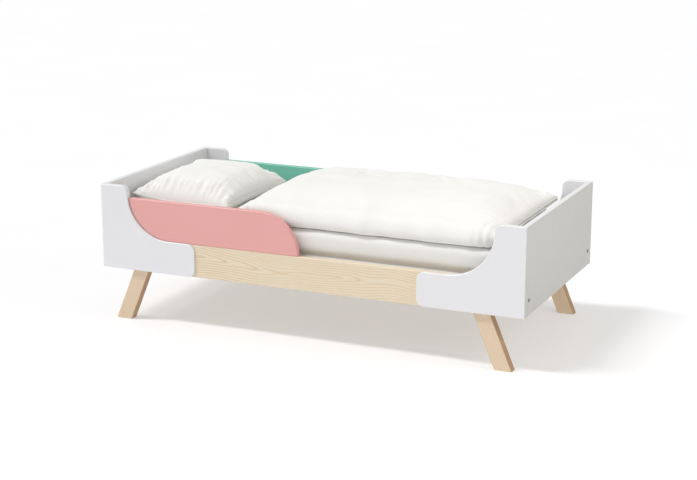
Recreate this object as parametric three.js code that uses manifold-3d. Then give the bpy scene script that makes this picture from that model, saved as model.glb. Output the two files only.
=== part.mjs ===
// Toddler bed: a low wooden bed on four splayed legs.
// White end panels stand between four white wings. A pale wooden rail runs along each side,
// let into the wings, and a coloured guard board stands on the head half of each rail.
// The mattress lies on notched bearers and slats, with a duvet and a pillow on it.
//
// Millimetres, +Z up. X runs along the bed with the head at -X. The front is -Y.
// The origin is on the floor, under the middle of the bed.

import * as THREE from 'three';
import { mergeVertices } from 'three/addons/utils/BufferGeometryUtils.js';
import Module from 'manifold-3d';

const wasm = await Module();
wasm.setup();

// ---------------------------------------------------------------- driving dimensions

// The mattress sets the size of the frame around it.
const mattressLength = 1600;
const mattressWidth = 700;
const mattressThickness = 120;
const mattressEndPlay = 5.5;
const mattressSidePlay = 19;
const mattressAboveRail = 88;
const mattressCornerRadius = 40;
const mattressEdgeRadius = 14;

// Boards.
const boardThickness = 22;
const panelHeight = 317;
const boardEdgeRadius = 2;
const frameClearance = 197;

// Side rails, from the same board.
const railThickness = boardThickness;
const railHeight = 123;
const railSetback = 6;

// Wings.
const wingWidth = 112;
const wingCornerRadius = 26;
const tongueLength = 391;
const tongueCornerRadius = 27;
const lapThickness = boardThickness / 2;

// Guard boards.
const guardLength = 695;
const guardBelowPanelTop = 44.5;
const guardEndGap = 2.5;
const guardPinRadius = 4;
const guardPinDepth = 30;
const guardPinInset = 60;

// Legs.
const legOutset = 44;
const legWidth = 63;
const legThickness = 36;
const legSetback = 12;
const legLean = THREE.MathUtils.degToRad(22.6);
const legStudRadius = 4;
const legStudDepth = 34;
const legStudInset = 9.7;

// Slatted base.
const slatCount = 12;
const slatWidth = 70;
const slatThickness = 15;
const slatEndPlay = 2;
const bearerThickness = 27.7;

// Bolts that draw each end panel against the bearers.
const boltRadius = 3;
const boltHeadRadius = 6;
const boltHeadHeight = 2.5;
const boltSocketWidth = 4;
const boltSocketDepth = 1.6;
const boltBelowSlat = 18.7;
const boltReach = 32;
const barrelNutRadius = 5;
const barrelNutLength = 16;
const barrelNutInset = 22;

// Dowels between the wings and the end panels.
const dowelRadius = 4;
const dowelInWing = 13;
const dowelInPanel = 22;
const dowelHeights = [0.52, 0.85];

// Soft goods. The duvet is folded in half, so it lies thick, and takes the room the pillow leaves.
const duvetSideGap = 16;
const duvetThickness = 124;
const duvetSeamShare = 0.33;
const duvetFootGap = 85;
const duvetHeadGap = 42;
const pillowLength = 436;
const pillowSideGap = 85;
const pillowThickness = 124;
const pillowSeamShare = 0.3;
const pillowHeadGap = 8;
const cushionWelt = 5;

// Clearances.
const touch = 0.3;
const holeClearance = 0.3;
const socketClearance = 0.4;
const notchClearance = 1;

// How far a cutting tool runs past the face it opens.
const overcut = 1;

// ---------------------------------------------------------------- derived positions

const railBack = railSetback + railThickness;
const frameLength = mattressLength + 2 * (mattressEndPlay + boardThickness);
const frameWidth = mattressWidth + 2 * (mattressSidePlay + railBack);
const headFace = -frameLength / 2;
const frontFace = -frameWidth / 2;
const frameTop = frameClearance + panelHeight;
const railTop = frameClearance + railHeight;
const insideEnd = headFace + boardThickness;
const insideLength = frameLength - 2 * boardThickness;
const mattressTop = railTop + mattressAboveRail;
const mattressBottom = mattressTop - mattressThickness;
const slatTop = mattressBottom - touch;
const slatBottom = slatTop - slatThickness;
const slatPitch = insideLength / slatCount;
const hollowRadius = panelHeight - railHeight - wingCornerRadius;
const hollowCentreX = headFace + wingWidth + hollowRadius;
const guardHeight = panelHeight - guardBelowPanelTop - railHeight - touch;
const bearerFront = frontFace + railBack + touch;
const boltY = bearerFront + bearerThickness / 2;
const boltZ = slatBottom - boltBelowSlat;
const barrelNutX = insideEnd + barrelNutInset;
const legStudY = bearerFront + legStudInset;
const guardPinY = frontFace + railSetback + railThickness / 2;
const dowelX = headFace + boardThickness / 2;
const duvetLength = insideLength - pillowHeadGap - pillowLength - duvetHeadGap - duvetFootGap;
const pillowWidth = mattressWidth - 2 * pillowSideGap;

// ---------------------------------------------------------------- materials

function lacquer(color) {
  return new THREE.MeshStandardMaterial({ color, roughness: 0.45, metalness: 0 });
}

function timber(color) {
  return new THREE.MeshStandardMaterial({ color, roughness: 0.6, metalness: 0 });
}

function steel() {
  return new THREE.MeshStandardMaterial({ color: 0x9a9c98, roughness: 0.35, metalness: 1 });
}

function cotton(color) {
  return new THREE.MeshStandardMaterial({ color, roughness: 0.95, metalness: 0 });
}

const white = 0xe4e4e4;
const pink = 0xe6aba8;
const mint = 0x7ac8b4;
const birch = 0xe2d3b6;
const beech = 0xdcc8a6;
const bedding = 0xf6f6f3;

// ---------------------------------------------------------------- solids and booleans

// Joins the vertices of a closed mesh that share a position.
function welded(geometry) {
  const bare = geometry.clone();
  bare.deleteAttribute('normal');
  bare.deleteAttribute('uv');
  return mergeVertices(bare, 1e-4);
}

function toSolid(geometry) {
  const merged = welded(geometry);
  const mesh = new wasm.Mesh({
    numProp: 3,
    vertProperties: new Float32Array(merged.attributes.position.array),
    triVerts: new Uint32Array(merged.index.array),
  });
  return new wasm.Manifold(mesh);
}

function toGeometry(solid) {
  const mesh = solid.getMesh();
  const geometry = new THREE.BufferGeometry();
  geometry.setAttribute('position', new THREE.BufferAttribute(mesh.vertProperties, 3));
  geometry.setIndex(new THREE.BufferAttribute(mesh.triVerts, 1));
  return geometry;
}

// Cuts every tool out of the body.
function cut(body, tools) {
  let solid = toSolid(body);
  for (const tool of tools) {
    solid = solid.subtract(toSolid(tool));
  }
  return toGeometry(solid);
}

function joined(first, second) {
  return toGeometry(toSolid(first).add(toSolid(second)));
}

// A box from its low corner to its high corner.
function box(low, high) {
  const size = high.map((value, axis) => value - low[axis]);
  const geometry = new THREE.BoxGeometry(...size);
  return geometry.translate(low[0] + size[0] / 2, low[1] + size[1] / 2, low[2] + size[2] / 2);
}

// A round bar from one point to another.
function bar(start, end, radius, sides = 12) {
  const from = new THREE.Vector3(...start);
  const to = new THREE.Vector3(...end);
  const along = to.clone().sub(from);
  const geometry = new THREE.CylinderGeometry(radius, radius, along.length(), sides);
  const turn = new THREE.Quaternion().setFromUnitVectors(
    new THREE.Vector3(0, 1, 0),
    along.clone().normalize(),
  );
  geometry.applyQuaternion(turn);
  const middle = from.add(to).multiplyScalar(0.5);
  return geometry.translate(middle.x, middle.y, middle.z);
}

// A board with its outline in the X-Z plane, between two Y positions, with softened edges.
function sideBoard(outline, lowY, highY, edgeRadius, curveSegments = 12) {
  const softened = edgeRadius > 0;
  const geometry = new THREE.ExtrudeGeometry(outline, {
    depth: highY - lowY - 2 * edgeRadius,
    bevelEnabled: softened,
    bevelThickness: edgeRadius,
    bevelSize: edgeRadius,
    bevelOffset: -edgeRadius,
    bevelSegments: 1,
    curveSegments,
  });
  geometry.rotateX(Math.PI / 2);
  return geometry.translate(0, highY - edgeRadius, 0);
}

// Reflects a head or front piece to the foot (mirrorX) or to the back (mirrorY).
function reflected(geometry, mirrorX, mirrorY) {
  const copy = welded(geometry);
  copy.scale(mirrorX ? -1 : 1, mirrorY ? -1 : 1, 1);
  if (mirrorX !== mirrorY) {
    const index = copy.index.array;
    for (let corner = 0; corner < index.length; corner += 3) {
      const swapped = index[corner + 1];
      index[corner + 1] = index[corner + 2];
      index[corner + 2] = swapped;
    }
  }
  return copy;
}

// ---------------------------------------------------------------- the frame

// The wing: an upright at the corner of the bed, a hollow curve, and a low tongue.
function wingOutline() {
  const outer = headFace;
  const upright = headFace + wingWidth;
  const tongueEnd = headFace + tongueLength;
  const bottom = frameClearance;
  const hollowCentreZ = railTop + hollowRadius;
  const outline = new THREE.Shape();
  outline.moveTo(outer, bottom);
  outline.lineTo(tongueEnd - tongueCornerRadius, bottom);
  outline.absarc(
    tongueEnd - tongueCornerRadius,
    bottom + tongueCornerRadius,
    tongueCornerRadius,
    -Math.PI / 2,
    0,
    false,
  );
  outline.absarc(
    tongueEnd - tongueCornerRadius,
    railTop - tongueCornerRadius,
    tongueCornerRadius,
    0,
    Math.PI / 2,
    false,
  );
  outline.absarc(hollowCentreX, hollowCentreZ, hollowRadius, -Math.PI / 2, -Math.PI, true);
  outline.absarc(
    upright - wingCornerRadius,
    frameTop - wingCornerRadius,
    wingCornerRadius,
    0,
    Math.PI / 2,
    false,
  );
  outline.lineTo(outer, frameTop);
  return outline;
}

// The centres of the dowels that join a wing to its end panel, as heights above the floor.
function dowelLevels() {
  return dowelHeights.map((share) => frameClearance + share * panelHeight);
}

function wing() {
  const board = sideBoard(
    wingOutline(),
    frontFace,
    frontFace + boardThickness,
    boardEdgeRadius,
  );
  // The rail runs in a rebate behind the low part of the wing.
  const rebate = box(
    [insideEnd, frontFace + lapThickness, frameClearance - overcut],
    [headFace + tongueLength + overcut, frontFace + boardThickness + overcut, railTop + touch],
  );
  const dowelHoles = dowelLevels().map((level) => bar(
    [dowelX, frontFace + boardThickness - dowelInWing - touch, level],
    [dowelX, frontFace + boardThickness + overcut, level],
    dowelRadius + holeClearance,
  ));
  return cut(board, [rebate, ...dowelHoles]);
}

function endPanel() {
  const halfWidth = frameWidth / 2 - boardThickness - touch;
  const outline = new THREE.Shape();
  outline.moveTo(-halfWidth, frameClearance);
  outline.lineTo(halfWidth, frameClearance);
  outline.lineTo(halfWidth, frameTop);
  outline.lineTo(-halfWidth, frameTop);
  const board = sideBoard(outline, 0, boardThickness, boardEdgeRadius);
  board.rotateZ(Math.PI / 2);
  board.translate(insideEnd, 0, 0);
  const holes = [];
  for (const side of [1, -1]) {
    holes.push(bar(
      [headFace - overcut, side * boltY, boltZ],
      [insideEnd + overcut, side * boltY, boltZ],
      boltRadius + holeClearance,
    ));
    for (const level of dowelLevels()) {
      holes.push(bar(
        [dowelX, side * (halfWidth + overcut), level],
        [dowelX, side * (halfWidth - dowelInPanel - touch), level],
        dowelRadius + holeClearance,
      ));
    }
  }
  return cut(board, holes);
}

function wingDowel(level) {
  const joint = frontFace + boardThickness;
  return bar([dowelX, joint - dowelInWing, level], [dowelX, joint + dowelInPanel, level], dowelRadius);
}

// The routed pocket in a rail's face that takes a wing's tongue, at the head end.
function tonguePocket() {
  const start = headFace;
  const end = headFace + tongueLength;
  const low = frameClearance;
  const radius = tongueCornerRadius + socketClearance;
  const outline = new THREE.Shape();
  outline.moveTo(start, low - socketClearance);
  outline.lineTo(end - tongueCornerRadius, low - socketClearance);
  outline.absarc(end - tongueCornerRadius, low + tongueCornerRadius, radius, -Math.PI / 2, 0, false);
  outline.absarc(end - tongueCornerRadius, railTop - tongueCornerRadius, radius, 0, Math.PI / 2, false);
  outline.lineTo(start, railTop + socketClearance);
  return sideBoard(outline, frontFace, frontFace + lapThickness + touch, 0);
}

function guardPinPositions() {
  const first = headFace + tongueLength + guardPinInset;
  const last = headFace + wingWidth + guardLength - guardPinInset;
  return [first, last];
}

function sideRail() {
  const outline = new THREE.Shape();
  const end = insideLength / 2 - touch;
  outline.moveTo(-end, frameClearance);
  outline.lineTo(end, frameClearance);
  outline.lineTo(end, railTop);
  outline.lineTo(-end, railTop);
  const board = sideBoard(outline, frontFace + railSetback, frontFace + railBack, boardEdgeRadius);
  const pinHoles = guardPinPositions().map((x) => bar(
    [x, guardPinY, railTop - guardPinDepth - touch],
    [x, guardPinY, railTop + overcut],
    guardPinRadius + holeClearance,
  ));
  const pocket = tonguePocket();
  return cut(board, [pocket, reflected(pocket, true, false), ...pinHoles]);
}

// The middle of each slat along the bed.
function slatPositions() {
  const positions = [];
  for (let number = 0; number < slatCount; number += 1) {
    positions.push(insideEnd + (number + 0.5) * slatPitch);
  }
  return positions;
}

// The bearer: a batten inside each rail, notched to hold the slats, bolted to both end panels.
function bearer() {
  const body = box(
    [insideEnd + touch, bearerFront, frameClearance],
    [-insideEnd - touch, bearerFront + bearerThickness, slatTop],
  );
  const tools = slatPositions().map((x) => box(
    [x - slatWidth / 2 - notchClearance, bearerFront - overcut, slatBottom - touch],
    [x + slatWidth / 2 + notchClearance, bearerFront + bearerThickness + overcut, slatTop + overcut],
  ));
  for (const side of [1, -1]) {
    tools.push(bar(
      [side * insideEnd, boltY, boltZ],
      [side * (insideEnd + boltReach + touch), boltY, boltZ],
      boltRadius + holeClearance,
    ));
    tools.push(bar(
      [side * barrelNutX, boltY - barrelNutLength / 2 - touch, boltZ],
      [side * barrelNutX, bearerFront + bearerThickness + overcut, boltZ],
      barrelNutRadius + holeClearance,
    ));
    tools.push(bar(
      [side * legStudX(), legStudY, frameClearance - overcut],
      [side * legStudX(), legStudY, frameClearance + legStudDepth + touch],
      legStudRadius + holeClearance,
    ));
  }
  return cut(body, tools);
}

function slat(x) {
  const halfLength = frameWidth / 2 - railBack - slatEndPlay;
  return box(
    [x - slatWidth / 2, -halfLength, slatBottom],
    [x + slatWidth / 2, halfLength, slatTop],
  );
}

// ---------------------------------------------------------------- legs

function legTopOuterX() {
  return headFace + legOutset + frameClearance * Math.tan(legLean);
}

function legStudX() {
  return legTopOuterX() + legWidth / 2;
}

function leg() {
  const bottomOuter = headFace + legOutset;
  const topOuter = legTopOuterX();
  const top = frameClearance - touch;
  const outline = new THREE.Shape();
  outline.moveTo(bottomOuter, 0);
  outline.lineTo(bottomOuter + legWidth, 0);
  outline.lineTo(topOuter + legWidth, top);
  outline.lineTo(topOuter, top);
  const front = frontFace + legSetback;
  const board = sideBoard(outline, front, front + legThickness, boardEdgeRadius);
  const studHole = bar(
    [legStudX(), legStudY, top + overcut],
    [legStudX(), legStudY, top - legStudDepth],
    legStudRadius + holeClearance,
  );
  return cut(board, [studHole]);
}

// The threaded stud that holds a leg to the bearer above it.
function legStud() {
  return bar(
    [legStudX(), legStudY, frameClearance - legStudDepth],
    [legStudX(), legStudY, frameClearance + legStudDepth],
    legStudRadius,
  );
}

// ---------------------------------------------------------------- fittings

// A round-headed bolt with a hexagon socket, through an end panel into its barrel nut.
function endBolt() {
  const outside = headFace - boltHeadHeight;
  const head = bar([outside, boltY, boltZ], [headFace - touch, boltY, boltZ], boltHeadRadius, 16);
  const shank = bar([headFace - 2 * touch, boltY, boltZ], [insideEnd + boltReach, boltY, boltZ], boltRadius);
  const socket = bar(
    [outside - overcut, boltY, boltZ],
    [outside + boltSocketDepth, boltY, boltZ],
    boltSocketWidth / Math.sqrt(3),
    6,
  );
  return cut(joined(head, shank), [socket]);
}

function barrelNut() {
  const body = bar(
    [barrelNutX, boltY - barrelNutLength / 2, boltZ],
    [barrelNutX, boltY + barrelNutLength / 2, boltZ],
    barrelNutRadius,
  );
  const thread = bar(
    [barrelNutX - barrelNutRadius - overcut, boltY, boltZ],
    [barrelNutX + barrelNutRadius + overcut, boltY, boltZ],
    boltRadius + holeClearance,
  );
  return cut(body, [thread]);
}

// ---------------------------------------------------------------- guard boards

// The guard follows the wing's hollow at its head end and falls in a quarter circle at the other.
function guardOutline() {
  const bottom = railTop + touch;
  const headRadius = hollowRadius - touch;
  const headCentreX = hollowCentreX + guardEndGap;
  const footEnd = headFace + wingWidth + guardLength;
  const riseFromCentre = Math.asin((headRadius - guardHeight) / headRadius);
  const outline = new THREE.Shape();
  outline.moveTo(headCentreX, bottom);
  outline.lineTo(footEnd, bottom);
  outline.absarc(footEnd - guardHeight, bottom, guardHeight, 0, Math.PI / 2, false);
  outline.absarc(
    headCentreX,
    bottom + headRadius,
    headRadius,
    Math.PI + riseFromCentre,
    1.5 * Math.PI,
    false,
  );
  return outline;
}

function guardBoard() {
  const board = sideBoard(
    guardOutline(),
    frontFace + railSetback,
    frontFace + railBack,
    boardEdgeRadius,
  );
  const pinHoles = guardPinPositions().map((x) => bar(
    [x, guardPinY, railTop - overcut],
    [x, guardPinY, railTop + touch + guardPinDepth],
    guardPinRadius + holeClearance,
  ));
  return cut(board, pinHoles);
}

function guardPin(x) {
  return bar(
    [x, guardPinY, railTop - guardPinDepth],
    [x, guardPinY, railTop + guardPinDepth],
    guardPinRadius,
  );
}

// ---------------------------------------------------------------- soft goods

function mattress() {
  const halfLength = mattressLength / 2;
  const halfWidth = mattressWidth / 2;
  const radius = mattressCornerRadius;
  const outline = new THREE.Shape();
  outline.moveTo(-halfLength + radius, -halfWidth);
  outline.absarc(halfLength - radius, -halfWidth + radius, radius, -Math.PI / 2, 0, false);
  outline.absarc(halfLength - radius, halfWidth - radius, radius, 0, Math.PI / 2, false);
  outline.absarc(-halfLength + radius, halfWidth - radius, radius, Math.PI / 2, Math.PI, false);
  outline.absarc(-halfLength + radius, -halfWidth + radius, radius, Math.PI, 1.5 * Math.PI, false);
  const edge = mattressEdgeRadius;
  const geometry = new THREE.ExtrudeGeometry(outline, {
    depth: mattressThickness - 2 * edge,
    bevelThickness: edge,
    bevelSize: edge,
    bevelOffset: -edge,
    bevelSegments: 2,
    curveSegments: 5,
  });
  return geometry.translate(0, 0, mattressBottom + edge);
}

// A plump closed cushion that rests on its underside.
// Its depth is full over the middle and fades to a welt around the edge, at a share of its height.
// The cells crowd towards the edges, where the surface turns.
function cushion(length, width, thickness, seamShare, cells) {
  const welt = cushionWelt;
  const seam = seamShare * thickness;
  const geometry = new THREE.BoxGeometry(2, 2, 2, cells, cells, 1);
  const position = geometry.attributes.position;
  for (let vertex = 0; vertex < position.count; vertex += 1) {
    const u = Math.sin(position.getX(vertex) * Math.PI / 2);
    const v = Math.sin(position.getY(vertex) * Math.PI / 2);
    const side = position.getZ(vertex) > 0 ? 1 : -1;
    const fullness = Math.sqrt((1 - Math.pow(u, 6)) * (1 - Math.pow(v, 6)));
    const reach = side > 0 ? thickness - seam : seam;
    const z = seam + side * (welt + (reach - welt) * fullness);
    position.setXYZ(vertex, u * length / 2, v * width / 2, z);
  }
  return welded(geometry);
}

function duvet() {
  const width = frameWidth - 2 * (railBack + duvetSideGap);
  const geometry = cushion(duvetLength, width, duvetThickness, duvetSeamShare, 10);
  const middle = -insideEnd - duvetFootGap - duvetLength / 2;
  return geometry.translate(middle, 0, mattressTop + touch);
}

function pillow() {
  const geometry = cushion(pillowLength, pillowWidth, pillowThickness, pillowSeamShare, 10);
  const middle = insideEnd + pillowHeadGap + pillowLength / 2;
  return geometry.translate(middle, 0, mattressTop + touch);
}

// ---------------------------------------------------------------- assembly

const bed = new THREE.Group();

function add(name, geometry, material) {
  const finished = welded(geometry);
  finished.computeVertexNormals();
  const mesh = new THREE.Mesh(finished, material);
  mesh.name = name;
  bed.add(mesh);
}

const ends = [
  { end: 'head', mirrorX: false },
  { end: 'foot', mirrorX: true },
];
const sides = [
  { side: 'front', mirrorY: false, guardColour: pink },
  { side: 'back', mirrorY: true, guardColour: mint },
];

function addEnds() {
  for (const { end, mirrorX } of ends) {
    add(`${end}_end_panel`, reflected(endPanel(), mirrorX, false), lacquer(white));
  }
}

function addCorners() {
  for (const { end, mirrorX } of ends) {
    for (const { side, mirrorY } of sides) {
      const corner = `${end}_${side}`;
      add(`${corner}_wing`, reflected(wing(), mirrorX, mirrorY), lacquer(white));
      add(`${corner}_leg`, reflected(leg(), mirrorX, mirrorY), timber(beech));
      add(`${corner}_leg_stud`, reflected(legStud(), mirrorX, mirrorY), steel());
      add(`${corner}_end_bolt`, reflected(endBolt(), mirrorX, mirrorY), steel());
      add(`${corner}_barrel_nut`, reflected(barrelNut(), mirrorX, mirrorY), steel());
      dowelLevels().forEach((level, number) => {
        const height = number === 0 ? 'lower' : 'upper';
        add(`${corner}_${height}_dowel`, reflected(wingDowel(level), mirrorX, mirrorY), timber(beech));
      });
    }
  }
}

function addSides() {
  for (const { side, mirrorY, guardColour } of sides) {
    add(`${side}_rail`, reflected(sideRail(), false, mirrorY), timber(birch));
    add(`${side}_slat_bearer`, reflected(bearer(), false, mirrorY), timber(birch));
    add(`${side}_guard_board`, reflected(guardBoard(), false, mirrorY), lacquer(guardColour));
    guardPinPositions().forEach((x, number) => {
      const place = number === 0 ? 'head' : 'foot';
      add(`${side}_guard_${place}_pin`, reflected(guardPin(x), false, mirrorY), steel());
    });
  }
}

function addSlats() {
  slatPositions().forEach((x, number) => {
    add(`slat_${String(number + 1).padStart(2, '0')}`, slat(x), timber(birch));
  });
}

function addSoftGoods() {
  add('mattress', mattress(), cotton(bedding));
  add('duvet', duvet(), cotton(bedding));
  add('pillow', pillow(), cotton(bedding));
}

addEnds();
addCorners();
addSides();
addSlats();
addSoftGoods();

export default bed;
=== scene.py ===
"""Toddler bed: finishes for the wooden frame, and the mattress, duvet and pillow that lie in it.

Metres. X runs along the bed with the head at -X, the front is -Y, and Z is up from the floor.
"""

import math

import bpy
import numpy as np
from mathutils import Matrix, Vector


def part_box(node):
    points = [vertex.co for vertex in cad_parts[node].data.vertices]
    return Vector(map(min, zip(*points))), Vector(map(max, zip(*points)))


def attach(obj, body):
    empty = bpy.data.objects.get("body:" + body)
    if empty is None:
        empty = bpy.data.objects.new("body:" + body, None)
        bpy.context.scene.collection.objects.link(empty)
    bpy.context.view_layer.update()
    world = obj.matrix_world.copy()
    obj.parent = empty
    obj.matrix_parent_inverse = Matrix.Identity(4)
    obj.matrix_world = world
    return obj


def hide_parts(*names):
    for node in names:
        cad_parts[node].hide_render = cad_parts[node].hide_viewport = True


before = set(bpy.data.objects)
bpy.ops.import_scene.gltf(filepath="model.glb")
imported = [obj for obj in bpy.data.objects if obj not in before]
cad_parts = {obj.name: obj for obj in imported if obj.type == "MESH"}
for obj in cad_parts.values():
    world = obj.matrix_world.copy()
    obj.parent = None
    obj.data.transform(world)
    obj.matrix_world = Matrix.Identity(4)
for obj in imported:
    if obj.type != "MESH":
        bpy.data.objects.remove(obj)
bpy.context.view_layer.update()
scene = bpy.context.scene
MM = 0.001
CLEARANCE = 0.4 * MM

# ------------------------------------------------------------------ places taken from the frame

MATTRESS_LOW, MATTRESS_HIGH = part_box("mattress")
DUVET_LOW, DUVET_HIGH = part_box("duvet")
PILLOW_LOW, PILLOW_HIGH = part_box("pillow")
HEAD_PANEL_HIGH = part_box("head_end_panel")[1]
WING_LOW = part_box("head_front_wing")[0]
LEG_LOW, LEG_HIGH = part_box("head_front_leg")
RAIL_LOW, RAIL_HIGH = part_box("front_rail")
BED_TOP = MATTRESS_HIGH.z


# ------------------------------------------------------------------ materials

MIX_FACTOR, MIX_FIRST, MIX_SECOND, MIX_RESULT = 0, 6, 7, 2


def linear(hex_colour):
    """An sRGB hex colour as linear red, green, blue and alpha."""
    srgb = [int(hex_colour[start:start + 2], 16) / 255 for start in (0, 2, 4)]
    return [c / 12.92 if c <= 0.04045 else ((c + 0.055) / 1.055) ** 2.4 for c in srgb] + [1.0]


def add_node(tree, kind, inputs=None, **settings):
    """Adds a node, sets its properties, then sets or links its sockets."""
    made = tree.nodes.new(kind)
    for name, value in settings.items():
        setattr(made, name, value)
    for name, value in (inputs or {}).items():
        if isinstance(value, bpy.types.NodeSocket):
            tree.links.new(value, made.inputs[name])
        else:
            made.inputs[name].default_value = value
    return made


def new_material(name):
    """An empty node material with its tree, shader and object coordinates."""
    material = bpy.data.materials.new(name)
    material.use_nodes = True
    tree = material.node_tree
    shader = tree.nodes["Principled BSDF"]
    coordinates = add_node(tree, "ShaderNodeTexCoord").outputs["Object"]
    return material, tree, shader, coordinates


def blended(tree, factor, first, second):
    """The colour between first and second at that factor."""
    return add_node(
        tree,
        "ShaderNodeMix",
        {MIX_FACTOR: factor, MIX_FIRST: first, MIX_SECOND: second},
        data_type="RGBA",
    ).outputs[MIX_RESULT]


def per_metre(size_mm):
    """The texture scale whose features are about this many millimetres across."""
    return 1000 / size_mm


def sprayed_lacquer(name, colour, shade, painted_end_shade=None):
    """Satin water-based lacquer sprayed on board.

    It gives an even colour with a faint cloudiness, a soft sheen, and fine orange peel.
    With an end colour, the outermost faces at the head and the foot take it as painted shade.
    """
    material, tree, shader, place = new_material(name)
    clouds = add_node(
        tree, "ShaderNodeTexNoise", {"Vector": place, "Scale": per_metre(180), "Detail": 3.0}
    ).outputs["Fac"]
    base = blended(tree, clouds, linear(colour), linear(shade))
    if painted_end_shade:
        # Painted shade: the outermost faces at the head and the foot, facing along the bed, are
        # darkened towards the end colour.
        normal = add_node(tree, "ShaderNodeNewGeometry").outputs["Normal"]
        facing = add_node(tree, "ShaderNodeSeparateXYZ", {"Vector": normal}).outputs["X"]
        level = add_node(tree, "ShaderNodeMath", {0: facing}, operation="ABSOLUTE").outputs[0]
        distance = add_node(tree, "ShaderNodeSeparateXYZ", {"Vector": place}).outputs["X"]
        outward = add_node(tree, "ShaderNodeMath", {0: distance}, operation="ABSOLUTE").outputs[0]
        at_end = add_node(
            tree,
            "ShaderNodeMath",
            {0: outward, 1: -WING_LOW.x - 1 * MM},
            operation="GREATER_THAN",
        ).outputs[0]
        painted_end_mask = add_node(
            tree, "ShaderNodeMath", {0: at_end, 1: level}, operation="MULTIPLY"
        ).outputs[0]
        base = blended(tree, painted_end_mask, base, linear(painted_end_shade))
    tree.links.new(base, shader.inputs["Base Color"])
    handling = add_node(
        tree, "ShaderNodeTexNoise", {"Vector": place, "Scale": per_metre(45), "Detail": 4.0}
    ).outputs["Fac"]
    roughness = add_node(
        tree, "ShaderNodeMapRange", {"Value": handling, "To Min": 0.34, "To Max": 0.46}
    ).outputs["Result"]
    tree.links.new(roughness, shader.inputs["Roughness"])
    peel = add_node(
        tree, "ShaderNodeTexNoise", {"Vector": place, "Scale": per_metre(2.4), "Detail": 1.0}
    ).outputs["Fac"]
    bump = add_node(
        tree, "ShaderNodeBump", {"Height": peel, "Strength": 0.25, "Distance": 0.06 * MM}
    ).outputs["Normal"]
    tree.links.new(bump, shader.inputs["Normal"])
    shader.inputs["IOR"].default_value = 1.48
    return material


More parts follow.
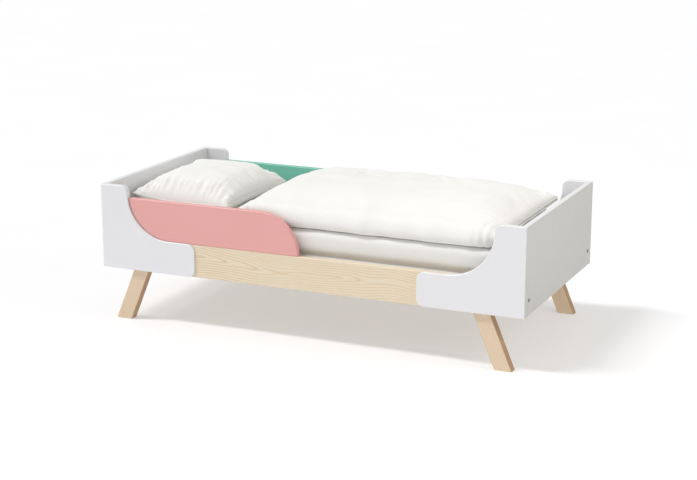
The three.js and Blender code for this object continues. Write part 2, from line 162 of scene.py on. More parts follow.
def lacquered_wood(name, pale, dark, heart, turn=(0, 0, 0), side=None):
    """Pale hardwood, planed, sanded and clear lacquered.

    It gives long arched growth lines, short darker fibres along the grain, and a low sheen.
    The grain runs along X after the turn. The growth rings are tapering tubes round a wandering
    heart line that stands that far out from the middle of the bed and that far up. With side,
    the faces towards the head and the foot start from that painted shade colour, not the pale one.
    """
    material, tree, shader, place = new_material(name)
    ring_spacing = 4.6 * MM
    taper = 0.045
    along = add_node(tree, "ShaderNodeMapping", {"Vector": place, "Rotation": turn}).outputs["Vector"]
    wander = add_node(
        tree,
        "ShaderNodeTexNoise",
        {"Vector": along, "Scale": per_metre(330), "Detail": 1.0},
    ).outputs["Color"]
    swayed = add_node(
        tree,
        "ShaderNodeVectorMath",
        {0: wander, 1: (0.0, 60 * MM, 90 * MM), 2: along},
        operation="MULTIPLY_ADD",
    ).outputs[0]
    parts = add_node(tree, "ShaderNodeSeparateXYZ", {"Vector": swayed})
    outward = add_node(
        tree, "ShaderNodeMath", {0: parts.outputs["Y"]}, operation="ABSOLUTE"
    ).outputs[0]
    from_heart = add_node(
        tree,
        "ShaderNodeCombineXYZ",
        {
            "Y": add_node(
                tree, "ShaderNodeMath", {0: outward, 1: heart[0]}, operation="SUBTRACT"
            ).outputs[0],
            "Z": add_node(
                tree, "ShaderNodeMath", {0: parts.outputs["Z"], 1: heart[1]}, operation="SUBTRACT"
            ).outputs[0],
        },
    ).outputs[0]
    radius = add_node(
        tree, "ShaderNodeVectorMath", {0: from_heart}, operation="LENGTH"
    ).outputs["Value"]
    grown = add_node(
        tree,
        "ShaderNodeMath",
        {0: parts.outputs["X"], 1: taper, 2: radius},
        operation="MULTIPLY_ADD",
    ).outputs[0]
    rings = add_node(
        tree, "ShaderNodeMath", {0: grown, 1: ring_spacing}, operation="DIVIDE"
    ).outputs[0]
    wave = add_node(tree, "ShaderNodeMath", {0: rings, 1: 1.0}, operation="PINGPONG").outputs[0]
    late_wood = add_node(tree, "ShaderNodeMath", {0: wave, 1: 3.5}, operation="POWER").outputs[0]
    stretched = add_node(
        tree, "ShaderNodeVectorMath", {0: along, 1: (0.06, 1.0, 1.0)}, operation="MULTIPLY"
    ).outputs[0]
    fibres = add_node(
        tree,
        "ShaderNodeTexNoise",
        {"Vector": stretched, "Scale": per_metre(2.2), "Detail": 4.0, "Roughness": 0.6},
    ).outputs["Fac"]
    fibre_tone = add_node(
        tree,
        "ShaderNodeMapRange",
        {"Value": fibres, "From Min": 0.35, "From Max": 0.8, "To Min": 0.0, "To Max": 0.3},
    ).outputs["Result"]
    patches = add_node(
        tree, "ShaderNodeTexNoise", {"Vector": along, "Scale": per_metre(250), "Detail": 1.0}
    ).outputs["Fac"]
    ring_tone = add_node(
        tree, "ShaderNodeMath", {0: late_wood, 1: patches}, operation="MULTIPLY"
    ).outputs[0]
    darkness = add_node(
        tree, "ShaderNodeMath", {0: ring_tone, 1: fibre_tone}, operation="ADD", use_clamp=True
    ).outputs[0]
    base = blended(tree, darkness, linear(pale), linear(dark))
    if side:
        # Painted shade: faces towards the head and the foot are darkened by the side colour.
        normal = add_node(tree, "ShaderNodeNewGeometry").outputs["Normal"]
        facing = add_node(tree, "ShaderNodeSeparateXYZ", {"Vector": normal}).outputs["X"]
        level = add_node(tree, "ShaderNodeMath", {0: facing}, operation="ABSOLUTE").outputs[0]
        painted_side_mask = add_node(
            tree, "ShaderNodeMapRange", {"Value": level, "From Min": 0.4, "From Max": 0.9}
        ).outputs["Result"]
        painted_side_colour = blended(tree, darkness, linear(side), linear(dark))
        base = blended(tree, painted_side_mask, base, painted_side_colour)
    tree.links.new(base, shader.inputs["Base Color"])
    roughness = add_node(
        tree, "ShaderNodeMapRange", {"Value": fibres, "To Min": 0.42, "To Max": 0.6}
    ).outputs["Result"]
    tree.links.new(roughness, shader.inputs["Roughness"])
    bump = add_node(
        tree, "ShaderNodeBump", {"Height": darkness, "Strength": 0.3, "Distance": 0.1 * MM},
        invert=True,
    ).outputs["Normal"]
    tree.links.new(bump, shader.inputs["Normal"])
    shader.inputs["IOR"].default_value = 1.5
    return material


def zinc_plated_steel(name):
    """Turned steel, bright zinc plated: a grey metal with a soft broken sheen and fine pits."""
    material, tree, shader, place = new_material(name)
    spangle = add_node(
        tree, "ShaderNodeTexNoise", {"Vector": place, "Scale": per_metre(3), "Detail": 3.0}
    ).outputs["Fac"]
    tree.links.new(
        blended(tree, spangle, linear("a3a59f"), linear("83857f")), shader.inputs["Base Color"]
    )
    roughness = add_node(
        tree, "ShaderNodeMapRange", {"Value": spangle, "To Min": 0.28, "To Max": 0.5}
    ).outputs["Result"]
    tree.links.new(roughness, shader.inputs["Roughness"])
    bump = add_node(
        tree, "ShaderNodeBump", {"Height": spangle, "Strength": 0.3, "Distance": 0.05 * MM}
    ).outputs["Normal"]
    tree.links.new(bump, shader.inputs["Normal"])
    shader.inputs["Metallic"].default_value = 1.0
    return material


def woven_cotton(name, colour, shade, thread, crease_depth):
    """Plain-woven cotton, washed.

    It gives a soft white with a faint warm shade in its creases, a dry sheen at the edges,
    and a fine weave. The real thread is under half a millimetre, too fine to see at this
    distance, so the weave is drawn a few times coarser. It follows the cloth by its UV map,
    which is in metres.
    """
    material, tree, shader, place = new_material(name)
    cloth = add_node(tree, "ShaderNodeTexCoord").outputs["UV"]
    thread_scale = 2 * math.pi / (thread * MM)
    turns = add_node(
        tree, "ShaderNodeVectorMath", {0: cloth, "Scale": thread_scale}, operation="SCALE"
    ).outputs[0]
    parts = add_node(tree, "ShaderNodeSeparateXYZ", {"Vector": turns})
    warp = add_node(tree, "ShaderNodeMath", {0: parts.outputs["X"]}, operation="SINE").outputs[0]
    weft = add_node(tree, "ShaderNodeMath", {0: parts.outputs["Y"]}, operation="SINE").outputs[0]
    weave = add_node(tree, "ShaderNodeMath", {0: warp, 1: weft}, operation="MULTIPLY").outputs[0]
    creases = add_node(
        tree,
        "ShaderNodeTexNoise",
        {"Vector": place, "Scale": per_metre(42), "Detail": 3.0, "Distortion": 0.9},
    ).outputs["Fac"]
    slubs = add_node(
        tree, "ShaderNodeTexNoise", {"Vector": cloth, "Scale": per_metre(7), "Detail": 2.0}
    ).outputs["Fac"]
    base = blended(tree, slubs, linear(colour), linear(shade))
    tree.links.new(base, shader.inputs["Base Color"])
    creased = add_node(
        tree,
        "ShaderNodeBump",
        {"Height": creases, "Strength": 0.5, "Distance": crease_depth * MM},
    ).outputs["Normal"]
    woven = add_node(
        tree,
        "ShaderNodeBump",
        {"Height": weave, "Strength": 0.2, "Distance": 0.12 * MM, "Normal": creased},
    ).outputs["Normal"]
    tree.links.new(woven, shader.inputs["Normal"])
    shader.inputs["Roughness"].default_value = 0.9
    shader.inputs["IOR"].default_value = 1.46
    shader.inputs["Sheen Weight"].default_value = 0.12
    shader.inputs["Sheen Roughness"].default_value = 0.5
    return material


def studio_sweep(name):
    """A white studio floor that glows a little, which keeps it even and its shadows pale."""
    material, tree, shader, place = new_material(name)
    mottle = add_node(
        tree, "ShaderNodeTexNoise", {"Vector": place, "Scale": per_metre(600), "Detail": 1.0}
    ).outputs["Fac"]
    base = blended(tree, mottle, linear("d4d4d6"), linear("d1d1d3"))
    tree.links.new(base, shader.inputs["Base Color"])
    shader.inputs["Roughness"].default_value = 0.9
    shader.inputs["Emission Color"].default_value = (1.0, 1.0, 1.0, 1.0)
    shader.inputs["Emission Strength"].default_value = 0.32
    return material


LEG_WIDTH = 63 * MM
LEG_LEAN = math.atan2(LEG_HIGH.x - LEG_LOW.x - LEG_WIDTH, LEG_HIGH.z - LEG_LOW.z)
UPRIGHT = math.pi / 2

# The last colour of the white lacquer is painted shade for its outermost faces at the head and the
# foot.
WHITE_LACQUER = sprayed_lacquer("white_satin_lacquer", "e9e9eb", "e6e6e8", "bcbcb8")
PINK_LACQUER = sprayed_lacquer("pink_satin_lacquer", "e9aba7", "e5a7a2")
MINT_LACQUER = sprayed_lacquer("mint_satin_lacquer", "7ac7b3", "74c0ab")
RAIL_HEART = (-RAIL_LOW.y - 22 * MM, (RAIL_LOW.z + RAIL_HIGH.z) / 2 + 45 * MM)
FAR_HEART = (0.3, -0.1)
RAIL_WOOD = lacquered_wood("clear_lacquered_birch", "eaddc5", "d4b588", RAIL_HEART)
CROSS_WOOD = lacquered_wood(
    "planed_birch_slats", "dccfb6", "c4a67a", FAR_HEART, turn=(0, 0, UPRIGHT)
)
# The side colour of the leg woods is painted shade on their faces towards the head and the foot.
HEAD_LEG_WOOD = lacquered_wood(
    "clear_lacquered_beech_head", "e4d0b5", "caa67b", FAR_HEART,
    turn=(0, UPRIGHT - LEG_LEAN, 0), side="a98561",
)
FOOT_LEG_WOOD = lacquered_wood(
    "clear_lacquered_beech_foot", "e4d0b5", "caa67b", FAR_HEART,
    turn=(0, UPRIGHT + LEG_LEAN, 0), side="a98561",
)
STEEL = zinc_plated_steel("bright_zinc_plated_steel")
PERCALE = woven_cotton("washed_cotton_percale", "f3f3ef", "eeede9", thread=1.6, crease_depth=1.8)
TICKING = woven_cotton("brushed_cotton_cover", "f0efec", "e9e8e3", thread=2.0, crease_depth=0.8)


# ------------------------------------------------------------------ the wooden frame and fittings

def smoothing_nodes():
    """A modifier's node group that joins loose triangles and shades them as one skin."""
    group = bpy.data.node_groups.new("joined_and_smooth", "GeometryNodeTree")
    group.interface.new_socket("Geometry", in_out="INPUT", socket_type="NodeSocketGeometry")
    group.interface.new_socket("Geometry", in_out="OUTPUT", socket_type="NodeSocketGeometry")
    start = add_node(group, "NodeGroupInput").outputs[0]
    joined = add_node(
        group, "GeometryNodeMergeByDistance", {"Geometry": start, "Distance": 0.01 * MM}
    ).outputs[0]
    smooth = add_node(
        group, "GeometryNodeSetShadeSmooth", {"Geometry": joined, "Shade Smooth": True}
    ).outputs[0]
    add_node(group, "NodeGroupOutput", {0: smooth})
    return group


SMOOTHING = smoothing_nodes()


def soften(part, width):
    """Rounds a piece's edges by that width and keeps its flat faces flat."""
    skin = part.modifiers.new("joined skin", "NODES")
    skin.node_group = SMOOTHING
    rounding = part.modifiers.new("rounded edges", "BEVEL")
    rounding.width = width
    rounding.segments = 2
    rounding.limit_method = "ANGLE"
    rounding.angle_limit = math.radians(30)
    rounding.miter_outer = "MITER_ARC"
    flats = part.modifiers.new("flat faces", "WEIGHTED_NORMAL")
    flats.keep_sharp = False
    flats.weight = 100


def finish_of(name):
    """The material and edge rounding of a CAD piece, by its name."""
    if name.endswith(("stud", "bolt", "nut", "_pin")):
        return STEEL, 0.2 * MM
    if name.startswith("slat_") or name.endswith("dowel"):
        return CROSS_WOOD, 0.8 * MM
    if name.startswith("head") and name.endswith("leg"):
        return HEAD_LEG_WOOD, 0.8 * MM
    if name.startswith("foot") and name.endswith("leg"):
        return FOOT_LEG_WOOD, 0.8 * MM
    if name == "front_guard_board":
        return PINK_LACQUER, 0.8 * MM
    if name == "back_guard_board":
        return MINT_LACQUER, 0.8 * MM
    if name.endswith(("wing", "end_panel")):
        return WHITE_LACQUER, 0.8 * MM
    return RAIL_WOOD, 0.8 * MM


def finish_frame():
    """Gives every hard CAD piece its material and softened edges."""
    for name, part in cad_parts.items():
        if name in ("mattress", "duvet", "pillow"):
            continue
        material, width = finish_of(name)
        part.data.materials.clear()
        part.data.materials.append(material)
        soften(part, width)


# ------------------------------------------------------------------ cloth surfaces

CORD_RADIUS = 2.2 * MM
CORD_STEP = 8 * MM
ON_THE_SEAM = 1 - 1e-9


def resting(height, floor, softness):
    """height, eased up so that it never passes below floor. Softness is the depth of the easing."""
    above = height - floor
    return floor + (above + np.sqrt(above * above + softness * softness)) / 2


def ripples(x, y, seed, count, shortest, longest):
    """A sum of waves with round hollows and narrow crests, of random direction, length and place."""
    random = np.random.default_rng(seed)
    total = np.zeros_like(x)
    for _ in range(count):
        heading = random.uniform(0, math.pi)
        length = random.uniform(shortest, longest)
        phase = random.uniform(0, 2 * math.pi)
        sway = random.uniform(0.5, 1.0) * np.sin(
            2 * math.pi * (x * math.sin(heading) - y * math.cos(heading)) / (2.7 * length) + phase
        )
        wave = math.pi * (x * math.cos(heading) + y * math.sin(heading)) / length
        total += 1 - 2 * np.abs(np.sin(wave + phase + sway)) ** 0.8
    return total / math.sqrt(count)


def dimple(x, y, centre, reach, rays, turn):
    """A pucker where folds meet: a shallow hollow whose rim rises and falls round it."""
    across = x - centre[0]
    along = y - centre[1]
    distance = np.hypot(across, along) / reach
    angle = np.arctan2(along, across) + turn
    hollow = -np.exp(-(2.2 * distance) ** 2)
    star = distance * np.exp(-1.6 * distance * distance) * np.cos(rays * angle)
    return hollow + 1.1 * star


def pleats(cushion, seed, spacing, reach, corner_reach):
    """Gathers standing square to the seam, about -1 to 1 and strongest near the corners.

    Each is a wave along the seam whose spacing wanders. It starts at the seam, is deepest a
    little way in, and dies out at that reach. Away from the corners the gathers are faint.
    """
    random = np.random.default_rng(seed)
    faint = 0.3
    wander_height = 1.6
    wander_length = 4.3 * spacing
    reach_change = 0.35
    reach_length = 2.6 * spacing
    total = np.zeros_like(cushion.u)
    half_x = np.max(cushion.flat_x)
    half_y = np.max(cushion.flat_y)
    edges = (
        (cushion.flat_x, half_x, half_y - np.abs(cushion.flat_y), np.sign(cushion.flat_y)),
        (cushion.flat_y, half_y, half_x - np.abs(cushion.flat_x), np.sign(cushion.flat_x)),
    )
    for along, half, inward, side in edges:
        for this_side in (-1, 1):
            phase, wander, slip = random.uniform(0, 2 * math.pi, 3)
            wave = 2 * math.pi * along / spacing + phase
            wave += wander_height * np.sin(2 * math.pi * along / wander_length + wander)
            slow = np.sin(2 * math.pi * along / reach_length + slip)
            length = reach * (1 + reach_change * slow)
            depth = (inward / length) * np.exp((1 - (inward / length) ** 2) / 2)
            from_corner = (half - np.abs(along)) / corner_reach
            strength = faint + (1 - faint) * np.exp(-from_corner * from_corner)
            on_side = np.where(side == this_side, 1.0, 0.0)
            total += on_side * strength * depth * np.sin(wave) * np.clip(from_corner * 4, 0, 1)
    return total


class Cushion:
    """Two equal grids of cloth sewn together round their edge.

    flat_x and flat_y are where each point lies on the flat cloth, up is +1 on the upper side,
    -1 on the lower side and 0 on the seam, and ring lists the seam's points in order.
    """

    def __init__(self, length, width, cell):
        self.columns = round(length / cell)
        self.rows = round(width / cell)
        u = np.linspace(-1, 1, self.columns + 1)
        v = np.linspace(-1, 1, self.rows + 1)
        grid_u, grid_v = np.meshgrid(u, v, indexing="ij")
        inside_u = grid_u[1:-1, 1:-1]
        inside_v = grid_v[1:-1, 1:-1]
        upper = np.arange(grid_u.size).reshape(grid_u.shape)
        lower = upper.copy()
        lower[1:-1, 1:-1] = grid_u.size + np.arange(inside_u.size).reshape(inside_u.shape)
        self.u = np.concatenate([grid_u.ravel(), inside_u.ravel()])
        self.v = np.concatenate([grid_v.ravel(), inside_v.ravel()])
        self.flat_x = self.u * length / 2
        self.flat_y = self.v * width / 2
        on_edge = np.maximum(np.abs(self.u), np.abs(self.v)) > ON_THE_SEAM
        self.up = np.where(np.arange(self.u.size) < grid_u.size, 1.0, -1.0)
        self.up[on_edge] = 0
        self.ring = np.concatenate([
            upper[:-1, 0], upper[-1, :-1], upper[:0:-1, -1], upper[0, :0:-1],
        ])
        self.faces = np.concatenate([
            self.quads(upper), self.quads(lower)[:, ::-1],
        ])

    @staticmethod
    def quads(index):
        """The four corners of every cell of a grid of point numbers."""
        corners = [index[:-1, :-1], index[1:, :-1], index[1:, 1:], index[:-1, 1:]]
        return np.stack([corner.ravel() for corner in corners], axis=1)

    def fullness(self, squareness):
        """1 over the middle, falling to 0 at the seam. Squarer cushions stay full for longer."""
        along = 1 - np.abs(self.u) ** squareness
        across = 1 - np.abs(self.v) ** squareness
        return np.sqrt(np.clip(along * across, 0, None))

    def make(self, name, points):
        """A mesh object through the points, with the flat cloth as its UV map."""
        mesh = bpy.data.meshes.new(name)
        mesh.from_pydata(points.tolist(), [], self.faces.tolist())
        cloth_map = mesh.uv_layers.new(name="cloth")
        corners = self.faces.ravel()
        flat = np.stack([self.flat_x[corners], self.flat_y[corners]], axis=1)
        cloth_map.data.foreach_set("uv", flat.astype(np.float32).ravel())
        mesh.polygons.foreach_set("use_smooth", np.ones(len(mesh.polygons), bool))
        mesh.update()
        piece = bpy.data.objects.new(name, mesh)
        scene.collection.objects.link(piece)
        return piece


def coordinates_of(mesh):
    """A mesh's points as an array of rows."""
    flat = np.empty(len(mesh.vertices) * 3, np.float32)
    mesh.vertices.foreach_get("co", flat)
    return flat.reshape(-1, 3).astype(float)


def move_points(piece, points):
    """Puts a piece's points at new places."""
    piece.data.vertices.foreach_set("co", points.astype(np.float32).ravel())
    piece.data.update()


def fill_with_wadding(piece, seam, gather, pressure, most):
    """Blows the sewn cover up a little by cloth simulation, with its seam gathered.

    seam lists the points that gather, which puckers the cloth beside them. No point moves by
    more than most.
    """
    start = coordinates_of(piece.data)
    group = piece.vertex_groups.new(name="seam")
    group.add([int(point) for point in seam], 1.0, "REPLACE")
    cloth = piece.modifiers.new("filling", "CLOTH")
    settings = cloth.settings
    settings.quality = 5
    settings.mass = 0.25
    settings.tension_stiffness = 14
    settings.compression_stiffness = 14
    settings.shear_stiffness = 6
    settings.bending_stiffness = 0.25
    settings.air_damping = 2
    settings.use_pressure = True
    settings.uniform_pressure_force = pressure
    settings.effector_weights.gravity = 0
    settings.vertex_group_shrink = group.name
    settings.shrink_min = 0
    settings.shrink_max = gather
    cloth.collision_settings.use_self_collision = False
    frames = 20
    cloth.point_cache.frame_start = 1
    cloth.point_cache.frame_end = frames
    for number in range(1, frames + 1):
        scene.frame_set(number)
    blown = piece.evaluated_get(bpy.context.evaluated_depsgraph_get())
    moved = coordinates_of(blown.data) - start
    length = np.linalg.norm(moved, axis=1, keepdims=True)
    moved *= np.minimum(1, most / np.maximum(length, 1e-9))
    piece.modifiers.remove(cloth)
    piece.vertex_groups.remove(group)
    scene.frame_set(1)
    move_points(piece, start + moved)


def subdivide(piece):
    """One level of smooth subdivision, alike in the view and the render."""
    modifier = piece.modifiers.new("smooth cloth", "SUBSURF")
    modifier.levels = 1
    modifier.render_levels = 1


def piping(name, path, radius, outward):
    """A round cord sewn along a closed path: a circle carried along it.

    Each circle stands across the path, spanned by the outward direction and by the direction
    square to both.
    """
    sides = 8
    tangent = np.roll(path, -1, axis=0) - np.roll(path, 1, axis=0)
    tangent /= np.linalg.norm(tangent, axis=1, keepdims=True)
    outward = outward - tangent * np.sum(outward * tangent, axis=1, keepdims=True)
    outward /= np.linalg.norm(outward, axis=1, keepdims=True)
    square = np.cross(tangent, outward)
    angle = np.linspace(0, 2 * math.pi, sides, endpoint=False)
    points = (
        path[:, None, :]
        + radius * np.cos(angle)[None, :, None] * outward[:, None, :]
        + radius * np.sin(angle)[None, :, None] * square[:, None, :]
    )
    count = len(path)
    index = np.arange(count * sides).reshape(count, sides)
    beside = np.roll(index, -1, axis=0)
    faces = np.stack([
        index, beside, np.roll(beside, -1, axis=1), np.roll(index, -1, axis=1),
    ], axis=2).reshape(-1, 4)
    mesh = bpy.data.meshes.new(name)
    mesh.from_pydata(points.reshape(-1, 3).tolist(), [], faces[:, ::-1].tolist())
    mesh.polygons.foreach_set("use_smooth", np.ones(len(mesh.polygons), bool))
    along = np.repeat(np.arange(count) * CORD_STEP, sides)
    round_cord = np.tile(angle * radius, count)
    cloth_map = mesh.uv_layers.new(name="cloth")
    corners = np.array([corner for polygon in mesh.polygons for corner in polygon.vertices])
    flat = np.stack([along[corners], round_cord[corners]], axis=1)
    cloth_map.data.foreach_set("uv", flat.astype(np.float32).ravel())
    mesh.update()
    piece = bpy.data.objects.new(name, mesh)
    scene.collection.objects.link(piece)
    return piece


def smoothed_ring(points, passes):
    """A closed row of points, evened out: each pass averages a point with its two neighbours."""
    for _ in range(passes):
        points = (np.roll(points, 1, axis=0) + points + np.roll(points, -1, axis=0)) / 3
    return points


def sew(piece, body, slot, material, *nodes):
    """Gives a cloth piece its material and its body, and hides the CAD solids it stands for."""
    piece.data.materials.append(material)
    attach(piece, body)
    if nodes:
        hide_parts(*nodes)


# ------------------------------------------------------------------ pillow

def make_pillow():
    """A plump pillow on the mattress, its head corners lifted and its seam piped.

    The seam's sides are pulled in between the corners. Creases and gathers are added to the
    filled cover, and what would pass below the mattress is eased up to lie on it.
    """
    size = PILLOW_HIGH - PILLOW_LOW
    middle = (PILLOW_HIGH + PILLOW_LOW) / 2
    tuck = 5 * MM
    length = size.x - 2 * tuck
    width = size.y - 2 * tuck
    cushion = Cushion(length, width, 8 * MM)
    seam_height = 36 * MM
    depth = 72 * MM
    crease_height = 3 * MM
    gather_height = 7 * MM
    head_corner_lift = 14 * MM
    foot_corner_drop = 6 * MM
    front_sag = 12 * MM
    rest_softness = 6 * MM
    panel_gap = 2 * MM
    full = cushion.fullness(3.2)
    pull = 10 * MM
    x = cushion.flat_x - pull * np.sign(cushion.u) * np.abs(cushion.u) ** 3 * (1 - cushion.v ** 2)
    y = cushion.flat_y - pull * np.sign(cushion.v) * np.abs(cushion.v) ** 3 * (1 - cushion.u ** 2)
    z = cushion.up * depth * full
    pillow = cushion.make("pillow_cover", np.stack([x, y, z], axis=1))
    fill_with_wadding(pillow, cushion.ring, gather=0.1, pressure=4, most=14 * MM)
    points = coordinates_of(pillow.data)
    x, y, z = points.T
    creases = ripples(x, y, 5, 8, 70 * MM, 240 * MM)
    gathers = pleats(cushion, 8, 28 * MM, 42 * MM, 130 * MM)
    z = z + cushion.up * (full * crease_height * creases + gather_height * gathers)
    corner = np.abs(cushion.u * cushion.v) ** 2.2
    lift = np.where(cushion.u < 0, head_corner_lift, -foot_corner_drop)
    sag = front_sag * (1 - cushion.u ** 2) * np.clip(-cushion.v, 0, 1) ** 3
    z = z + seam_height + lift * corner - sag
    z = BED_TOP + resting(z, CLEARANCE, rest_softness)
    points = np.stack([x + middle.x, y + middle.y, z], axis=1)
    points[:, 0] = resting(points[:, 0], HEAD_PANEL_HIGH.x + panel_gap, panel_gap)
    move_points(pillow, points)
    subdivide(pillow)
    sew(pillow, "pillow", "bed_linen", PERCALE, "pillow")
    path = smoothed_ring(points[cushion.ring], 2)
    outward = path - np.array([middle.x, middle.y, 0])
    outward[:, 2] = 0
    cord = piping("pillow_piping", path, CORD_RADIUS, outward)
    sew(cord, "pillow", "bed_linen", PERCALE)


# ------------------------------------------------------------------ duvet

FOLD_FULLNESS = 0.56
FOLD_REACH = 120 * MM
SAG_REACH = 70 * MM
SAG_POWER = 1.7


def make_duvet():
    """A duvet folded once along its length, with the fold at the front.

    The cover is filled flat, then carried round the fold: its middle surface runs forward as
    the lower layer, round a half circle at the front, and back as the upper layer. The front
    roll then sags, so that it is fullest near the mattress.
    """
    size = DUVET_HIGH - DUVET_LOW
    middle_x = (DUVET_HIGH.x + DUVET_LOW.x) / 2
    tuck = 6 * MM
    head_tuck = 20 * MM
    length = size.x - tuck - head_tuck
    middle_x += (head_tuck - tuck) / 2
    layer_width = size.y - 2 * tuck
    half_depth = 30 * MM
    crease_height = 4 * MM
    pucker_height = 7 * MM
    gather_height = 6 * MM
    bunch_height = 4 * MM
    bunch_spacing = 31 * MM
    bunch_slant = 9
    bunch_inset = 40 * MM
    bunch_length = 45 * MM
    bunch_width = 75 * MM
    open_gap = 5 * MM
    loop_height = 13 * MM
    loop_width = 60 * MM
    layer_rise = 40 * MM
    rest_softness = 5 * MM
    fold_radius = half_depth * FOLD_FULLNESS
    arc = fold_radius * math.pi / 2
    unfolded = 2 * (layer_width - fold_radius + arc)
    cushion = Cushion(length, unfolded, 10 * MM)
    full = cushion.fullness(7)
    thin = 1 - (1 - FOLD_FULLNESS) * np.exp(-(cushion.flat_y / FOLD_REACH) ** 2)
    z = cushion.up * half_depth * full * thin
    points = np.stack([cushion.flat_x, cushion.flat_y, z], axis=1)
    duvet = cushion.make("duvet_cover", points)
    fill_with_wadding(duvet, cushion.ring, gather=0.09, pressure=3, most=9 * MM)
    points = coordinates_of(duvet.data)
    x, across, offset = points.T

    creases = ripples(x, across, 11, 9, 90 * MM, 380 * MM)
    upper_layer = across > 0
    puckers = dimple(x, across, (-0.22, 0.52), 0.11, 5, 0.4)
    puckers += dimple(x, across, (0.13, 0.50), 0.12, 6, 1.1)
    relief = full * (crease_height * creases + pucker_height * puckers * upper_layer)
    gathers = pleats(cushion, 21, 27 * MM, 40 * MM, 150 * MM)
    gathers *= 1 + 2 * np.exp(-(cushion.flat_y / FOLD_REACH) ** 2)
    from_end = length / 2 - np.abs(cushion.flat_x)
    past_inset = (from_end - bunch_inset) / bunch_length
    fold_ends = np.exp(-past_inset ** 2 - (across / bunch_width) ** 2)
    bunching = fold_ends * np.sin(
        2 * math.pi * from_end / bunch_spacing + bunch_slant * across
    )
    offset = offset + relief * (cushion.up > 0)
    offset = offset + (gather_height * gathers + bunch_height * bunching) * cushion.up

    depth = half_depth * full * thin
    edge = 1 - full
    gap = 0.5 * MM + open_gap * edge ** 4
    loop = loop_height * np.exp(-(across / loop_width) ** 2) * np.abs(cushion.u) ** 10
    height = depth + gap + loop
    side = np.where(across < 0, -1.0, 1.0)
    distance = np.abs(across)
    turn = np.clip(distance / arc, 0, 1) * math.pi / 2
    beyond = np.clip(distance - arc, 0, None)
    front = DUVET_LOW.y + tuck + half_depth * FOLD_FULLNESS
    core_y = front + fold_radius * (1 - np.cos(turn)) + beyond
    core_z = side * height * np.sin(turn)
    y = core_y - offset * np.cos(turn)
    centre_z = resting(2 * depth + gap, layer_rise, rest_softness)
    z = centre_z + core_z + side * offset * np.sin(turn)
    z = resting(z, CLEARANCE, rest_softness)
    fold_height = 4 * fold_radius
    sag = np.exp(-((y - front) / SAG_REACH) ** 2)
    sunk = fold_height * np.clip(z / fold_height, 0, 1) ** SAG_POWER
    z = BED_TOP + z + sag * (sunk - np.minimum(z, fold_height))
    points = np.stack([x + middle_x, y, z], axis=1)
    move_points(duvet, points)
    subdivide(duvet)
    sew(duvet, "duvet", "bed_linen", PERCALE, "duvet")
    path = smoothed_ring(points[cushion.ring], 2)
    outward = np.stack([cushion.u, np.zeros_like(cushion.u), np.zeros_like(cushion.u)], axis=1)
    outward[:, 1] = np.where(np.abs(cushion.v) > ON_THE_SEAM, 1.0, 0.0)
    cord = piping("duvet_piping", path, CORD_RADIUS, outward[cushion.ring])
    sew(cord, "duvet", "bed_linen", PERCALE)


# ------------------------------------------------------------------ mattress

def make_mattress():
    """A foam mattress in a padded cover: a slab with round corners, upright sides and soft edges.

    The cloth is wrapped over the slab from the seam that runs round it: up the side, round a
    quarter circle at the edge, and in over the top. The seam is then let down level with the top
    of the rail, where it draws the cover in.
    """
    size = MATTRESS_HIGH - MATTRESS_LOW
    middle = (MATTRESS_HIGH + MATTRESS_LOW) / 2
    slack = 4 * MM
    rumple_height = 0.8 * MM
    seam_above_rail = 1 * MM
    seam_reach = 8 * MM
    seam_draw = 13 * MM
    lower_inset = 4 * MM
    half_x = size.x / 2 - slack
    half_y = size.y / 2 - slack
    half_z = size.z / 2
    edge = 16 * MM
    side = half_z - edge
    bend = edge * math.pi / 2
    wrapped = side + bend - edge
    cushion = Cushion(2 * (half_x + wrapped), 2 * (half_y + wrapped), 9 * MM)
    from_seam = np.minimum(
        half_x + wrapped - np.abs(cushion.flat_x), half_y + wrapped - np.abs(cushion.flat_y)
    )
    round_edge = np.clip(from_seam - side, 0, bend) / edge
    inset = edge * (1 - np.cos(round_edge)) + np.clip(from_seam - side - bend, 0, None)
    height = np.clip(from_seam, 0, side) + edge * np.sin(round_edge)
    x = cushion.flat_x * (half_x - inset) / (half_x + wrapped - from_seam)
    y = cushion.flat_y * (half_y - inset) / (half_y + wrapped - from_seam)
    corner = 45 * MM
    far_x = np.sign(x) * (np.abs(x) - half_x + corner).clip(0)
    far_y = np.sign(y) * (np.abs(y) - half_y + corner).clip(0)
    longest = np.maximum(np.abs(far_x), np.abs(far_y))
    reach = longest / np.maximum(np.hypot(far_x, far_y), 1e-9)
    x += far_x * (reach - 1)
    y += far_y * (reach - 1)
    z = cushion.up * height
    mattress = cushion.make("mattress_cover", np.stack([x, y, z], axis=1))
    fill_with_wadding(mattress, cushion.ring, gather=0.01, pressure=2, most=3 * MM)
    points = coordinates_of(mattress.data)
    rumpled = ripples(points[:, 0], points[:, 1], 3, 8, 80 * MM, 300 * MM)
    points[:, 2] += rumple_height * cushion.up * rumpled
    seam = RAIL_HIGH.z - middle.z + seam_above_rail
    share = points[:, 2] / half_z
    points[:, 2] = seam + share * np.where(share > 0, half_z - seam, half_z + seam)
    drawn_in = np.exp(-((points[:, 2] - seam) / seam_reach) ** 2)
    waist = seam_draw * drawn_in + lower_inset * (share < 0)
    points[:, 0] *= 1 - waist / half_x
    points[:, 1] *= 1 - waist / half_y
    points[:, 2] = np.clip(points[:, 2], CLEARANCE - half_z, half_z)
    points += np.array([middle.x, middle.y, middle.z])
    move_points(mattress, points)
    subdivide(mattress)
    sew(mattress, "mattress", "mattress_cotton", TICKING, "mattress")


# ------------------------------------------------------------------ studio

def make_floor():
    """A wide level floor just under the feet."""
    reach = 60
    low = -0.2 * MM
    corners = [(-reach, -reach, low), (reach, -reach, low), (reach, reach, low), (-reach, reach, low)]
    mesh = bpy.data.meshes.new("studio_floor")
    mesh.from_pydata(corners, [], [(0, 1, 2, 3)])
    mesh.materials.append(studio_sweep("white_studio_sweep"))
    floor = bpy.data.objects.new("studio_floor", mesh)
    scene.collection.objects.link(floor)


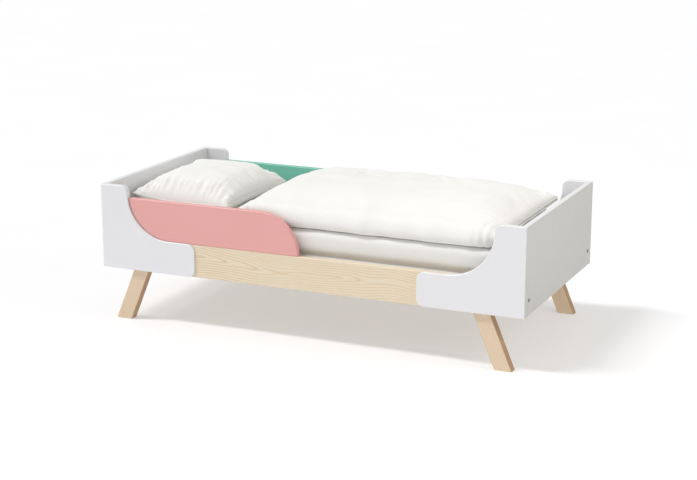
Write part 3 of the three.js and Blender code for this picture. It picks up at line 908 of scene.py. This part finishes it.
def make_light():
    """A long soft strip of light from the front left and above, a weak fill and a white room.

    The strip is a row of lamps along the bed, so shadows fade out slowly past the foot end and
    stay firmer at the front and at the head.
    """
    lean_across = -0.30
    lean_up = 0.86
    leans_along = (-0.32, -0.42, -0.58, -0.95)
    fill_place = (2.2, -0.3, 1.3)
    fill_direction = Vector((1.0, -0.1, 0.45))
    for lean_along in leans_along:
        light = bpy.data.lights.new("strip_light", "SUN")
        light.energy = 1.85 / len(leans_along)
        light.angle = math.radians(8)
        lamp = bpy.data.objects.new("strip_light", light)
        lamp.rotation_mode = "QUATERNION"
        direction = Vector((lean_along, lean_across, lean_up))
        lamp.rotation_quaternion = direction.to_track_quat("Z", "Y")
        scene.collection.objects.link(lamp)
    panel = bpy.data.lights.new("fill_light", "AREA")
    panel.shape = "RECTANGLE"
    panel.size = 1.2
    panel.size_y = 0.8
    panel.energy = 8
    panel.color = (1.0, 0.91, 0.78)
    fill = bpy.data.objects.new("fill_light", panel)
    fill.location = fill_place
    fill.rotation_mode = "QUATERNION"
    fill.rotation_quaternion = fill_direction.to_track_quat("Z", "Y")
    scene.collection.objects.link(fill)
    world = bpy.data.worlds.new("white_room")
    world.use_nodes = True
    background = world.node_tree.nodes["Background"]
    background.inputs["Color"].default_value = (1.0, 1.0, 1.0, 1.0)
    background.inputs["Strength"].default_value = 0.56
    scene.world = world
    scene.view_settings.view_transform = "Standard"


def make_camera():
    """A long lens to the front right, a little above the bed, aimed at its middle."""
    azimuth = math.radians(24.21)
    tilt = math.radians(14.39)
    distance = 6.02
    aim = Vector((0.003, 0.0, 0.293))
    back = Vector((
        math.sin(azimuth) * math.cos(tilt),
        -math.cos(azimuth) * math.cos(tilt),
        math.sin(tilt),
    ))
    lens = bpy.data.cameras.new("camera")
    lens.lens = 82.74
    lens.sensor_width = 36
    camera = bpy.data.objects.new("camera", lens)
    camera.location = aim + back * distance
    camera.rotation_mode = "QUATERNION"
    camera.rotation_quaternion = back.to_track_quat("Z", "Y")
    scene.collection.objects.link(camera)
    scene.camera = camera


make_camera()
make_light()
make_floor()
finish_frame()
make_mattress()
make_duvet()
make_pillow()

bpy.context.view_layer.update()
